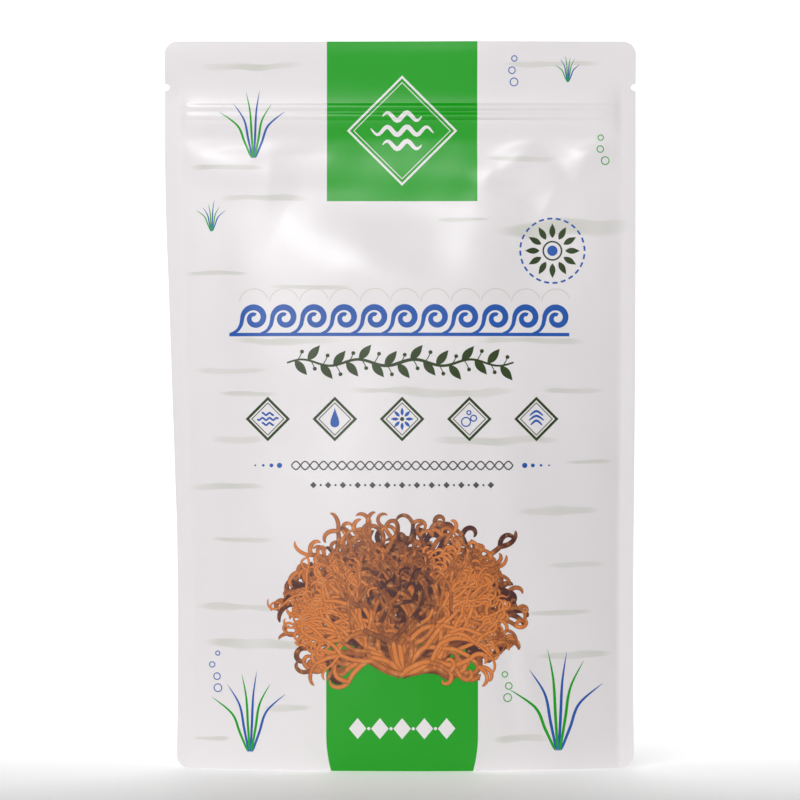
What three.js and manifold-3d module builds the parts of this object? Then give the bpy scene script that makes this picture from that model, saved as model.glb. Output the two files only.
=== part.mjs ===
// Resealable stand-up pouch, filled with dried seaweed, in millimetres.
// +Z is up, the front faces -Y, and the origin is the middle of the base on the surface it stands on.
import * as THREE from 'three';
import { mergeVertices } from 'three/addons/utils/BufferGeometryUtils.js';
import Module from 'manifold-3d';

const wasm = await Module();
wasm.setup();

// Driving dimensions of the pouch as it is cut and sealed
const pouchWidth = 180;
const pouchHeight = 277.4;
const filmThickness = 0.4;
const layerGap = 0.3;
const sideSealWidth = 6;
const topSealHeight = 9;
const cornerRadius = 5;
const gussetFold = 45;
const skirtHeight = 6;
const notch = { height: 260, depth: 1.9, halfSpan: 1.3 };

// How far the filled film stands out from the plane of the side seals, from the floor to the top seal
const bellyProfile = [
  [0, 17.4], [30, 18.9], [60, 19.3], [85, 18.6], [110, 16.8], [140, 14.0], [170, 11.0], [200, 7.3],
  [225, 4.2], [240, 2.5], [247, 1.95], [257, 1.9], [263, 1.1], [pouchHeight - topSealHeight, 0],
];
const bellyRoundness = 2.4;
const zipFlatness = 30;
const leftwardShift = 0.15;
const fullestHeight = 60;
const aboveGusset = [gussetFold + 1, gussetFold + 8];
const aboveBelly = [220, 242];
const aboveZip = [257, 265];

// Press-to-close zip, seen from its end
const zip = {
  height: 250.7, halfLength: 77, flangeBelow: 8.4, flangeAbove: 5.4, flangeThickness: 0.4,
  channelOuter: 2.1, channelInner: 1.4, lipOpening: 0.95, lipReach: 0.45, channelReach: 1.95,
  ribStem: 0.45, barb: 1.15, barbStart: 1.7, tip: 0.3, tipReach: 2.55,
};
const zipRidge = { offset: 1.75, halfSpan: 1.3, rise: 0.45, clearAbove: 4.8 };

// Soft creases pressed into the front film: ends as [x, z], half width, and how far they stand out
const broadFolds = [
  { from: [53, 236], to: [32, 214], halfWidth: 8, rise: 1.6 },
  { from: [53, 236], to: [77, 222], halfWidth: 7, rise: 1.2 },
  { from: [34, 206], to: [76, 200], halfWidth: 11, rise: -1.5 },
];

// Contents: each clump grows in its own part of the cavity, given as x, y and z ranges
const clumpCells = [
  { x: [-70, -2], y: [-14, 14], z: [46, 118], seed: 11 },
  { x: [2, 74], y: [-14, 14], z: [46, 118], seed: 23 },
  { x: [-52, 56], y: [-7, 7], z: [125, 184], seed: 37 },
];
const clump = {
  fronds: 8, stemWidth: 3.2, tipRoot: 2.56, tipWidth: 7.4, bladeThickness: 1.3, clearance: 4.6,
  coreLevel: 0.45, coreShare: 0.2, rootDepth: 0.4, wander: 0.25, sideTilt: 0.35,
  frondLength: [1.3, 1.8], tipLength: [0.6, 0.9], tipSpread: [0.4, 0.8], tipTilt: 0.5, forkRoot: 0.9,
};

const { smoothstep, lerp, clamp } = THREE.MathUtils;

// A smooth curve through [position, value] points that never overshoots them
function curveThrough(points) {
  const slopes = points.slice(1).map(([p, v], k) => (v - points[k][1]) / (p - points[k][0]));
  const tangents = points.map((_, k) => {
    const before = slopes[Math.max(k - 1, 0)];
    const after = slopes[Math.min(k, slopes.length - 1)];
    return before * after <= 0 ? 0 : (2 * before * after) / (before + after);
  });
  return (position) => {
    if (position <= points[0][0]) return points[0][1];
    const last = points.length - 1;
    if (position >= points[last][0]) return points[last][1];
    const k = points.findIndex(([p]) => p > position) - 1;
    const [[p0, v0], [p1, v1]] = [points[k], points[k + 1]];
    const span = p1 - p0;
    const t = (position - p0) / span;
    return (
      v0 * (1 + 2 * t) * (1 - t) ** 2 + v1 * t * t * (3 - 2 * t)
      + span * tangents[k] * t * (1 - t) ** 2 + span * tangents[k + 1] * t * t * (t - 1)
    );
  };
}

const belly = curveThrough(bellyProfile);

// Film doesn't stretch, so a row that bulges draws its two edges together, most of it on the left
function edgesAt(z) {
  const sealToSeal = pouchWidth - 2 * sideSealWidth;
  const drawn = (8 / 3) * belly(z) ** 2 / sealToSeal;
  const most = (8 / 3) * belly(fullestHeight) ** 2 / sealToSeal;
  const right = leftwardShift * drawn * drawn / most;
  return { left: -pouchWidth / 2 + drawn - right, right: pouchWidth / 2 - right };
}

function foldRise(x, z) {
  return broadFolds.reduce((total, fold) => {
    const along = new THREE.Vector2(fold.to[0] - fold.from[0], fold.to[1] - fold.from[1]);
    const offset = new THREE.Vector2(x - fold.from[0], z - fold.from[1]);
    const share = clamp(offset.dot(along) / along.lengthSq(), 0, 1);
    const distance = offset.sub(along.multiplyScalar(share)).length();
    return total + fold.rise * Math.exp(-((distance / fold.halfWidth) ** 2));
  }, 0);
}

// Distance of a panel's outer face from the plane of the side seals
function halfDepth(x, z, folded) {
  const { left, right } = edgesAt(z);
  const across = (2 * (x - left - sideSealWidth)) / (right - left - 2 * sideSealWidth) - 1;
  const twoLayers = layerGap / 2 + filmThickness;
  const fourLayers = twoLayers + layerGap + filmThickness;
  const power = bellyRoundness * (zipFlatness / bellyRoundness) ** smoothstep(z, ...aboveBelly);
  const crown = Math.max(1 - Math.abs(across) ** power, 0);
  const free = Math.max(smoothstep(z, ...aboveGusset), Math.min(3 * crown, 1));
  const sealed = lerp(fourLayers, twoLayers, free);
  const ridge = [-1, 1].reduce((total, side) => {
    const away = (z - zip.height - side * zipRidge.offset) / zipRidge.halfSpan;
    return total + zipRidge.rise * Math.max(0, 1 - away * away);
  }, 0);
  return sealed + (belly(z) + ridge) * crown + (folded ? foldRise(x, z) * Math.min(crown * 2, 1) : 0);
}

// How far the outline is cut in at a height, by the round corners and the tear notches
function cutIn(z) {
  const fromEnd = Math.min(z, pouchHeight - z);
  const corner = fromEnd < cornerRadius
    ? cornerRadius - Math.sqrt(cornerRadius ** 2 - (cornerRadius - fromEnd) ** 2) : 0;
  const fromNotch = (z - notch.height) / notch.halfSpan;
  return corner + (Math.abs(fromNotch) < 1 ? notch.depth * Math.sqrt(1 - fromNotch ** 2) : 0);
}

// Columns across a panel: three in each side seal, and the film between them
const filmColumns = [-0.97, -0.9, -0.8, -0.66, -0.5, -0.34, -0.17, 0, 0.17, 0.34, 0.5, 0.66, 0.8, 0.9, 0.97];

function columnsAt(z, cut) {
  const { left, right } = edgesAt(z);
  const [innerLeft, innerRight] = [left + sideSealWidth, right - sideSealWidth];
  const sealShares = [0, 0.5, 1];
  const fromLeft = sealShares.map((share) => lerp(left + cut, innerLeft, share));
  const fromRight = sealShares.map((share) => lerp(right - cut, innerRight, share)).reverse();
  const film = filmColumns.map((across) => lerp(innerLeft, innerRight, (across + 1) / 2));
  return [...fromLeft, ...film, ...fromRight];
}

function spaced(from, to, count) {
  return Array.from({ length: count }, (_, k) => lerp(from, to, k / count));
}

const cornerSteps = [0, 0.08, 0.3, 0.62].map((share) => share * cornerRadius);
const notchSteps = [-1, -0.75, 0, 0.75, 1].map((share) => notch.height + share * notch.halfSpan);
const ridgeEdge = zipRidge.offset + zipRidge.halfSpan;
const ridgeSteps = [-ridgeEdge, -zipRidge.offset, 0, zipRidge.offset, ridgeEdge]
  .map((offset) => zip.height + offset);
const sealLine = pouchHeight - topSealHeight;
const panelRows = [
  ...cornerSteps,
  ...spaced(cornerRadius, aboveGusset[0], 4),
  ...spaced(...aboveGusset, 2),
  ...spaced(aboveGusset[1], aboveBelly[0], 17),
  ...spaced(...aboveBelly, 4),
  ...ridgeSteps,
  ...notchSteps,
  ...aboveZip,
  sealLine,
  pouchHeight - cornerRadius,
  ...cornerSteps.map((step) => pouchHeight - step).reverse(),
].sort((low, high) => low - high);

// Joins an outer and an inner grid of points, of the same size, into one closed sheet
function closedSheet(outer, inner, flipped) {
  const [rows, columns] = [outer.length, outer[0].length];
  const positions = [...outer.flat(), ...inner.flat()].flat();
  const out = (i, j) => i * columns + j;
  const inn = (i, j) => rows * columns + i * columns + j;
  const index = [];
  const quad = (a, b, c, d) => index.push(...(flipped ? [a, c, b, a, d, c] : [a, b, c, a, c, d]));
  for (let i = 0; i + 1 < rows; i += 1) {
    for (let j = 0; j + 1 < columns; j += 1) {
      quad(out(i, j), out(i, j + 1), out(i + 1, j + 1), out(i + 1, j));
      index.push(...(flipped
        ? [inn(i, j), inn(i, j + 1), inn(i + 1, j + 1), inn(i, j), inn(i + 1, j + 1), inn(i + 1, j)]
        : [inn(i, j), inn(i + 1, j + 1), inn(i, j + 1), inn(i, j), inn(i + 1, j), inn(i + 1, j + 1)]));
    }
  }
  for (let j = 0; j + 1 < columns; j += 1) {
    quad(out(0, j), inn(0, j), inn(0, j + 1), out(0, j + 1));
    quad(out(rows - 1, j), out(rows - 1, j + 1), inn(rows - 1, j + 1), inn(rows - 1, j));
  }
  for (let i = 0; i + 1 < rows; i += 1) {
    quad(out(i, 0), out(i + 1, 0), inn(i + 1, 0), inn(i, 0));
    quad(out(i + 1, columns - 1), out(i, columns - 1), inn(i, columns - 1), inn(i + 1, columns - 1));
  }
  const geometry = new THREE.BufferGeometry();
  geometry.setAttribute('position', new THREE.Float32BufferAttribute(positions, 3));
  geometry.setIndex(index);
  return geometry;
}

// A front (side -1) or back (side 1) panel: its inner face is the outer one, moved in by the film
function panelGeometry(side) {
  const folded = side < 0;
  const step = filmThickness / 40;
  const [outer, inner] = [[], []];
  for (const z of panelRows) {
    const row = columnsAt(z, cutIn(z));
    outer.push(row.map((x) => [x, side * halfDepth(x, z, folded), z]));
    inner.push(row.map((x) => {
      const slope = (halfDepth(x + step, z, folded) - halfDepth(x - step, z, folded)) / (2 * step);
      const unit = Math.hypot(1, slope);
      const atEdge = x === row[0] || x === row[row.length - 1];
      const moved = atEdge ? x : x + (filmThickness * slope) / unit;
      return [moved, side * (halfDepth(x, z, folded) - filmThickness / unit), z];
    }));
  }
  return closedSheet(outer, inner, side > 0);
}

const leastLeaf = 2;

// Height at which the gusset leaves the panel: low in the middle, up to the fold at the side seals
function gussetSealHeight(x) {
  const { left, right } = edgesAt(0);
  const middle = (left + right) / 2;
  const across = Math.min(Math.abs((2 * (x - middle)) / (right - left - 2 * sideSealWidth)), 1);
  const curved = gussetFold - (gussetFold - skirtHeight) * Math.sqrt(1 - across ** 2);
  return Math.min(curved, gussetFold - leastLeaf);
}

// Half of one gusset section, from the rim up to the ridge, as points on both faces of the sheet.
// Its columns are the panel's own, so that the two sheets stay parallel.
const leafBend = 1.3;
const skirtSteps = 3;
const leafSteps = 6;

function gussetHalf(column) {
  const { left, right } = edgesAt(0);
  const foot = columnsAt(0, 0)[column];
  const columnX = (z) => columnsAt(z, 0)[column];
  const insidePanel = (z) => halfDepth(columnX(z), z, false) - filmThickness - layerGap;
  const seal = gussetSealHeight(foot);
  const atSeal = insidePanel(seal);
  const top = layerGap / 2 + filmThickness;
  const leaf = gussetFold - seal;
  const ridge = seal + Math.sqrt(Math.max(leaf ** 2 - (atSeal - top) ** 2, (leaf / 2) ** 2));
  const fromEdge = Math.min(foot - left, right - foot, cornerRadius);
  const trim = cornerRadius - Math.sqrt(cornerRadius ** 2 - (cornerRadius - fromEdge) ** 2);
  const skirt = spaced(trim + layerGap / 2, seal, skirtSteps).map((z) => {
    const depth = insidePanel(z);
    return { x: columnX(z), outside: [depth, z], inside: [depth - filmThickness, z] };
  });
  const slope = Array.from({ length: leafSteps + 1 }, (_, k) => {
    const rise = k / leafSteps;
    const depth = lerp(atSeal, top, rise ** leafBend);
    const lean = ((atSeal - top) * leafBend * rise ** (leafBend - 1)) / (ridge - seal);
    const z = lerp(seal, ridge, rise);
    const inward = Math.max(depth - filmThickness * Math.hypot(1, lean), layerGap / 2);
    const under = k === leafSteps ? z - filmThickness : z;
    return { x: columnX(z), outside: [depth, z], inside: [inward, under] };
  });
  return [...skirt, ...slope];
}

// The gusset is one sheet: up inside the front panel, over a ridge, and down inside the back panel
function gussetGeometry() {
  const halves = columnsAt(0, 0).map((_, column) => gussetHalf(column));
  const whole = (half, face) => [
    ...half.map((point) => [point.x, -point[face][0], point[face][1]]),
    ...half.map((point) => [point.x, point[face][0], point[face][1]]).reverse(),
  ];
  return closedSheet(
    halves.map((half) => whole(half, 'outside')), halves.map((half) => whole(half, 'inside')), true,
  );
}

// A zip strip: its end view, as [depth, height] points, drawn out along X
function zipStrip(outline) {
  const shape = new THREE.Shape(outline.map(([depth, height]) => new THREE.Vector2(depth, height)));
  const geometry = new THREE.ExtrudeGeometry(shape, { depth: 2 * zip.halfLength, bevelEnabled: false });
  const ends = new THREE.Matrix4().makeBasis(
    new THREE.Vector3(0, 1, 0), new THREE.Vector3(0, 0, 1), new THREE.Vector3(1, 0, 0),
  );
  return geometry.applyMatrix4(ends.setPosition(-zip.halfLength, 0, zip.height));
}

const innerFace = halfDepth(0, zip.height + zipRidge.clearAbove, false) - filmThickness;
const flangeFace = innerFace - layerGap;
const flangeRoot = flangeFace - zip.flangeThickness;

function channelOutline() {
  const mouth = flangeRoot - zip.channelReach;
  const lip = mouth + zip.lipReach;
  return [
    [flangeFace, -zip.flangeBelow], [flangeFace, zip.flangeAbove],
    [flangeRoot, zip.flangeAbove], [flangeRoot, zip.channelOuter],
    [mouth, zip.channelOuter], [mouth, zip.lipOpening], [lip, zip.lipOpening],
    [lip, zip.channelInner], [flangeRoot, zip.channelInner],
    [flangeRoot, -zip.channelInner], [lip, -zip.channelInner],
    [lip, -zip.lipOpening], [mouth, -zip.lipOpening], [mouth, -zip.channelOuter],
    [flangeRoot, -zip.channelOuter], [flangeRoot, -zip.flangeBelow],
  ];
}

function ribOutline() {
  const [face, root] = [-flangeFace, -flangeRoot];
  return [
    [face, -zip.flangeBelow], [root, -zip.flangeBelow], [root, -zip.ribStem],
    [root + zip.barbStart, -zip.ribStem], [root + zip.barbStart, -zip.barb],
    [root + zip.tipReach, -zip.tip], [root + zip.tipReach, zip.tip],
    [root + zip.barbStart, zip.barb], [root + zip.barbStart, zip.ribStem],
    [root, zip.ribStem], [root, zip.flangeAbove], [face, zip.flangeAbove],
  ];
}

// Booleans: a closed geometry as a solid, and back
const weldDistance = 1e-4;

function asSolid(geometry) {
  geometry.deleteAttribute('normal');
  geometry.deleteAttribute('uv');
  const merged = mergeVertices(geometry, weldDistance);
  return new wasm.Manifold(new wasm.Mesh({
    numProp: 3,
    vertProperties: new Float32Array(merged.attributes.position.array),
    triVerts: new Uint32Array(merged.index.array),
  }));
}

function asGeometry(solid) {
  const mesh = solid.getMesh();
  const geometry = new THREE.BufferGeometry();
  geometry.setAttribute('position', new THREE.Float32BufferAttribute(mesh.vertProperties, 3));
  geometry.setIndex([...mesh.triVerts]);
  return geometry;
}

// Random draws that are the same on every run
function seededDraws(seed) {
  let state = seed;
  return (from, to) => {
    state = (state * 1664525 + 1013904223) % 4294967296;
    return lerp(from, to, state / 4294967296);
  };
}

// Keeps a point of a frond inside its cell, and clear of the film round it and below it
function keptInside(point, cell) {
  const kept = new THREE.Vector3(
    clamp(point.x, cell.x[0] + clump.clearance, cell.x[1] - clump.clearance),
    point.y,
    clamp(point.z, cell.z[0] + clump.clearance, cell.z[1] - clump.clearance),
  );
  const film = halfDepth(kept.x, kept.z, false) - filmThickness - clump.clearance;
  const room = Math.max(Math.min(film, cell.y[1]), 0.5);
  kept.y = clamp(kept.y, -room, room);
  return kept;
}

// One flat length of seaweed between two points, wider at its far end
function blade(from, to, widths, roll) {
  const along = to.clone().sub(from);
  const length = along.length();
  const geometry = new THREE.BoxGeometry(1, 1, 1);
  const place = new THREE.Matrix4().makeRotationFromQuaternion(
    new THREE.Quaternion().setFromUnitVectors(new THREE.Vector3(0, 0, 1), along.normalize())
      .multiply(new THREE.Quaternion().setFromAxisAngle(new THREE.Vector3(0, 0, 1), roll)),
  );
  const corner = new THREE.Vector3();
  for (let k = 0; k < geometry.attributes.position.count; k += 1) {
    corner.fromBufferAttribute(geometry.attributes.position, k);
    const width = corner.z > 0 ? widths[1] : widths[0];
    corner.set(corner.x * width, corner.y * clump.bladeThickness, (corner.z + 0.5) * length);
    corner.applyMatrix4(place).add(from);
    geometry.attributes.position.setXYZ(k, corner.x, corner.y, corner.z);
  }
  return asSolid(geometry);
}

// A frond is a stem that forks into two fan-shaped tips
function frond(start, heading, length, draw, cell) {
  const fork = keptInside(start.clone().addScaledVector(heading, length), cell);
  const stem = blade(start, fork, [clump.stemWidth, clump.stemWidth], draw(0, Math.PI));
  const rooted = start.clone().lerp(fork, clump.forkRoot);
  const sideways = new THREE.Vector3(-heading.z, 0, heading.x);
  const tips = [-1, 1].map((turn) => {
    const spread = sideways.clone().multiplyScalar(turn * draw(...clump.tipSpread));
    const tilt = new THREE.Vector3(0, draw(-clump.tipTilt, clump.tipTilt), 0);
    const direction = heading.clone().add(spread).add(tilt).normalize();
    const end = rooted.clone().addScaledVector(direction, length * draw(...clump.tipLength));
    return blade(rooted, keptInside(end, cell), [clump.tipRoot, clump.tipWidth], draw(0, Math.PI));
  });
  return [stem, ...tips];
}

function mossClump(cell) {
  const draw = seededDraws(cell.seed);
  const middle = new THREE.Vector3(
    (cell.x[0] + cell.x[1]) / 2, 0, lerp(cell.z[0], cell.z[1], clump.coreLevel),
  );
  const [wide, deep, tall] = [cell.x, cell.y, cell.z].map(([from, to]) => (to - from) * clump.coreShare);
  const core = new THREE.IcosahedronGeometry(1, 1);
  core.scale(wide, deep, tall);
  core.translate(middle.x, middle.y, middle.z);
  let solid = asSolid(core);
  for (let k = 0; k < clump.fronds; k += 1) {
    const angle = (2 * Math.PI * (k + draw(-clump.wander, clump.wander))) / clump.fronds;
    const tilt = draw(-clump.sideTilt, clump.sideTilt);
    const heading = new THREE.Vector3(Math.cos(angle), tilt, Math.sin(angle)).normalize();
    const start = middle.clone().addScaledVector(heading, Math.min(wide, tall) * clump.rootDepth);
    const length = lerp(wide, tall, 0.5) * draw(...clump.frondLength);
    for (const piece of frond(start, heading, length, draw, cell)) solid = solid.add(piece);
  }
  return solid;
}

// Lets a clump sink until it rests on what lies under it, less the gap that touching parts keep
const searchReach = 12;
const settledDrop = 0.02;

function settled(solid, support) {
  let resting = solid;
  let drop = resting.minGap(support, searchReach) - layerGap;
  while (drop > settledDrop) {
    resting = resting.translate([0, 0, -drop]);
    drop = resting.minGap(support, searchReach) - layerGap;
  }
  return resting;
}

const film = { color: 0xf1f2ee, roughness: 0.42, metalness: 0 };
const plastic = { color: 0xe9ece8, roughness: 0.25, metalness: 0 };
const seaweed = { color: 0x8a4b2c, roughness: 0.75, metalness: 0 };

const pouch = new THREE.Group();

function addPiece(name, geometry, finish) {
  const piece = new THREE.Mesh(geometry, new THREE.MeshStandardMaterial(finish));
  piece.name = name;
  pouch.add(piece);
}

const sheets = {
  front_panel: panelGeometry(-1), back_panel: panelGeometry(1), bottom_gusset: gussetGeometry(),
};
for (const [name, sheet] of Object.entries(sheets)) addPiece(name, sheet, film);
addPiece('zip_channel', zipStrip(channelOutline()), plastic);
addPiece('zip_rib', zipStrip(ribOutline()), plastic);

let support = Object.values(sheets).map(asSolid).reduce((all, sheet) => all.add(sheet));
clumpCells.forEach((cell, k) => {
  const resting = settled(mossClump(cell), support);
  support = support.add(resting);
  addPiece(`dried_moss_${k + 1}`, asGeometry(resting), seaweed);
});

export default pouch;
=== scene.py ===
# %% [markdown]
# # A filled stand-up pouch
# This lesson dresses a imported model of a resealable stand-up pouch. The imported model is the fixed
# frame: it gives the size and place of every piece, and it is loaded first. Its box is kept, and it
# gives the pouch's width and height.

# %% Load the frame
import math
import random

import bmesh
import bpy
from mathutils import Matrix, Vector, noise


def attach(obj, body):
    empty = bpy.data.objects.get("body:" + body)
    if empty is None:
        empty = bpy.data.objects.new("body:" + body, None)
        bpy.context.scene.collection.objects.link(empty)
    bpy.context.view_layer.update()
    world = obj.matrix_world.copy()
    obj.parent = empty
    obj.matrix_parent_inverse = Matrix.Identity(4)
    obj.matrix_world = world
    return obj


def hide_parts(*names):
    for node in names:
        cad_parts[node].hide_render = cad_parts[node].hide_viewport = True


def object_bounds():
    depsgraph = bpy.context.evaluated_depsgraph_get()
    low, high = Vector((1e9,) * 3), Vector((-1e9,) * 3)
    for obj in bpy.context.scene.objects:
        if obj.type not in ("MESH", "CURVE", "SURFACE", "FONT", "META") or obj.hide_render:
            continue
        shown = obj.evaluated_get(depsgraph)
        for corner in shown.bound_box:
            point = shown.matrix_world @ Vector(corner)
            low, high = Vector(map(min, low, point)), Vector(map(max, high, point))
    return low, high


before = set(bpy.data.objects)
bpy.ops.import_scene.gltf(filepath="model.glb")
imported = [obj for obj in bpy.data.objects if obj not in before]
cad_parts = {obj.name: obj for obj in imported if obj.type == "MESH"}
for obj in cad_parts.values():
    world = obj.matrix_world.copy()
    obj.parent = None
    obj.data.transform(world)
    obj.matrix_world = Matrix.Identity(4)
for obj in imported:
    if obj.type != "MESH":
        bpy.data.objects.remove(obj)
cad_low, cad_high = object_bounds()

MM = 0.001
pouch_width = (cad_high.x - cad_low.x) / MM
pouch_height = (cad_high.z - cad_low.z) / MM
print(f"pouch {pouch_width:.1f} mm wide and {pouch_height:.1f} mm tall, nodes {sorted(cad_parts)}")

# %% [markdown]
# ## The shape of a filled pouch
# A pouch is cut from flat film, so its shape is not free: film bends but does not stretch. Sculpting
# it by hand would stretch it somewhere. Instead one function gives how far the film stands out at
# every point, and a second draws the side edges together wherever the film bulges. Every piece of
# film and every bit of print asks these two functions where to be, so nothing can drift apart.

# %% Curves and steps
def smooth_step(value, start, end):
    share = min(max((value - start) / (end - start), 0.0), 1.0)
    return share * share * (3 - 2 * share)


def mix(a, b, share):
    return a + (b - a) * share


def spaced_along(start, end, count):
    return [mix(start, end, k / count) for k in range(count + 1)]


def curve_through(points):
    """A smooth curve through (position, value) points that never overshoots them."""
    slopes = [(v1 - v0) / (p1 - p0) for (p0, v0), (p1, v1) in zip(points, points[1:])]
    before, after = [slopes[0], *slopes], [*slopes, slopes[-1]]
    tangents = [0 if a * b <= 0 else 2 * a * b / (a + b) for a, b in zip(before, after)]

    def value_at(position):
        if position <= points[0][0]:
            return points[0][1]
        if position >= points[-1][0]:
            return points[-1][1]
        k = next(i for i, (p, _) in enumerate(points) if p > position) - 1
        (p0, v0), (p1, v1) = points[k], points[k + 1]
        t = (position - p0) / (p1 - p0)
        bend = tangents[k] * (1 - t) - tangents[k + 1] * t
        return mix(v0, v1, t * t * (3 - 2 * t)) + (p1 - p0) * t * (1 - t) * bend

    return value_at


# %% Sizes of the pouch, in millimetres
film_thickness = 0.25
layer_gap = 0.04
side_seal = 6.0
top_seal = 9.0
corner_radius = 5.0
gusset_fold = 45.0
skirt_height = 6.0
notch_height, notch_depth, notch_half_span = 260.0, 1.9, 1.3
zip_height = 250.7
zip_ridge_offset, zip_ridge_half_span, zip_ridge_rise = 1.75, 1.4, 0.95
ridge_peak_x, ridge_spread, least_ridge = 22, 40, 0.3
flange_below, flange_above = 8.4, 5.0
zip_lower_edge = zip_height - flange_below
fullest_height = 60
belly_profile = [
    (0, 18.4), (30, 19.1), (fullest_height, 19.3), (85, 18.6), (110, 16.8), (140, 14.2),
    (170, 11.3), (185, 9.6), (200, 7.2), (212, 5.2), (225, 3.1), (235, 1.25), (240.5, 0.6),
    (246.5, 1.4), (251.5, 1.4), (256, 1.0), (261, 0.5), (265, 0.15), (pouch_height - top_seal, 0),
]
belly = curve_through(belly_profile)
belly_roundness, zip_flatness, flattening_start = 2.4, 30.0, 220
leftward_shift = 0.15
base_tuck, base_tuck_height = 4.6, 17.0
# A shallow arc is longer than its chord by this much of its rise squared over the chord
arc_excess = 8 / 3


def side_edges(z):
    """Left and right edge at a height: a fuller row is a narrower one, most of it on the left."""
    seal_to_seal = pouch_width - 2 * side_seal
    drawn = arc_excess * belly(z) ** 2 / seal_to_seal
    most = arc_excess * belly(fullest_height) ** 2 / seal_to_seal
    right = leftward_shift * drawn * drawn / most
    return -pouch_width / 2 + drawn - right, pouch_width / 2 - right


print(f"edges at the base {side_edges(0)}, at the belly {side_edges(fullest_height)}")

# %% [markdown]
# ## Soft creases
# A filled pouch is never smooth: the film buckles under the stiff zip and dents where it is empty.
# Painting the creases into a bump map would leave the outline and the mesh smooth. Here each crease
# is a ridge or a valley along a short line, with its own width and height, and all of them are added
# to the shape. Broad ones come first, then the finer ones that catch the light.

# %% Creases of the front and the back film
# Each: start (x, z), end (x, z), half width, rise outwards
front_creases = [
    # The tent beside the right end of the zip: two arms, the hollow between them, the hood below
    ((55, 243), (30, 220), 5.0, 1.0),
    ((50, 240), (68, 227), 4.5, -0.7),
    ((64, 226), (81, 244), 4.5, 0.9),
    ((34, 226), (56, 216), 7.0, -0.9),
    # The shoulder, where the film comes down from the flat zip onto the contents
    ((-50, 222), (44, 211), 11, -1.3),
    ((-47, 204), (38, 168), 12, 1.5),
    ((38, 222), (20, 172), 10, 0.7),
    ((46, 220), (56, 168), 12, -1.5),
    ((74, 222), (84, 180), 9, 0.9),
    # Ripples under the left end of the zip
    ((-80, 236), (-50, 238), 2.4, -0.4),
    ((-56, 232), (-26, 236), 3.0, -0.35),
    ((-78, 226), (-40, 221), 6, 0.3),
    # Long, low folds down the sides and over the base
    ((-72, 225), (-70, 20), 8, -1.3),
    ((-62, 120), (-44, 44), 13, 1.0),
    ((-16, 160), (-34, 110), 12, -0.6),
    ((58, 175), (62, 60), 10, -0.5),
    ((36, 140), (46, 88), 8, 0.6),
    ((40, 60), (42, 12), 3.5, -0.5),
    ((46, 52), (51, 10), 4, 0.45),
    ((-79, 56), (-68, 6), 5, -0.6),
    ((-38, 42), (-52, 6), 6, 0.45),
]
back_creases = [
    ((-50, 236), (-30, 210), 7, 1.3),
    ((-50, 236), (-74, 224), 6, 0.9),
    ((60, 232), (44, 216), 5, 0.8),
    ((-30, 204), (-70, 198), 10, -1.2),
    ((64, 170), (66, 100), 8, -0.8),
    ((-60, 110), (-66, 60), 7, 0.6),
    ((30, 60), (34, 24), 5, -0.4),
]
crease_taper = 0.7
broad_lump, broad_rise = (34, 40), 0.8
fine_lump, fine_rise = (13, 17), 0.16
crease_freedom_end = 262
stiff_start, stiffness = 234, 0.9


def crease_rise(x, z, creases):
    total = 0.0
    for (x0, z0), (x1, z1), half_width, rise in creases:
        dx, dz = x1 - x0, z1 - z0
        share = min(max(((x - x0) * dx + (z - z0) * dz) / (dx * dx + dz * dz), 0.0), 1.0)
        away = math.hypot(x - x0 - share * dx, z - z0 - share * dz) / half_width
        total += rise * math.exp(-away * away) * math.sin(math.pi * share) ** crease_taper
    return total


def unevenness(x, z, side):
    """The low, soft lumps that loose contents press into the film."""
    broad = noise.noise(Vector((x / broad_lump[0], z / broad_lump[1], side * 7.3)))
    fine = noise.noise(Vector((x / fine_lump[0], z / fine_lump[1], side * 3.1 + 20)))
    return broad_rise * broad + fine_rise * fine


def crown_at(x, z):
    """How fully the film bulges across a row: 0 at the side seals, 1 along the middle."""
    left, right = side_edges(z)
    across = 2 * (x - left - side_seal) / (right - left - 2 * side_seal) - 1
    stiffening = smooth_step(z, flattening_start, zip_lower_edge)
    power = belly_roundness * (zip_flatness / belly_roundness) ** stiffening
    return max(1 - abs(across) ** power, 0.0)


def half_depth(x, z, side):
    """Distance of the film's outer face from the plane of the side seals. Side -1 is the front."""
    crown = crown_at(x, z)
    two_layers = layer_gap / 2 + film_thickness
    four_layers = two_layers + layer_gap + film_thickness
    above_gusset = smooth_step(z, gusset_fold + 1, gusset_fold + 8)
    sealed = mix(four_layers, two_layers, max(above_gusset, min(3 * crown, 1)))
    ridge = sum(
        max(0.0, 1 - ((z - zip_height - at * zip_ridge_offset) / zip_ridge_half_span) ** 2)
        for at in (-1, 1)
    )
    ridge *= zip_ridge_rise * mix(least_ridge, 1, math.exp(-((x - ridge_peak_x) / ridge_spread) ** 2))
    creases = front_creases if side < 0 else back_creases
    stiff = smooth_step(z, stiff_start, zip_lower_edge) * stiffness
    near_top = smooth_step(z, crease_freedom_end, pouch_height - top_seal)
    freedom = min(2 * crown, 1) * (1 - stiff) * (1 - near_top)
    soft = (crease_rise(x, z, creases) + unevenness(x, z, side)) * freedom
    tuck = base_tuck * max(1 - z / base_tuck_height, 0.0) ** 2
    return sealed + (belly(z) + ridge - tuck) * crown + soft


lean_start, lean_end = 255.5, 275
bow_depth, bow_swell, swell_x, swell_spread = 2.6, 1.3, 36, 25
bow_ripple, ripple_scale = 0.3, 17


def lean(x, z):
    """How far both films together bend out of the plane near the unfilled top edge."""
    swell = bow_swell * math.exp(-((x - swell_x) / swell_spread) ** 2)
    bow = bow_depth + swell + bow_ripple * math.sin(x / ripple_scale)
    return -bow * smooth_step(z, lean_start, lean_end)


def film_y(x, z, side):
    """Y of the film's outer face, on the front (side -1) or on the back (side 1)."""
    return side * half_depth(x, z, side) + lean(x, z)


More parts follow.
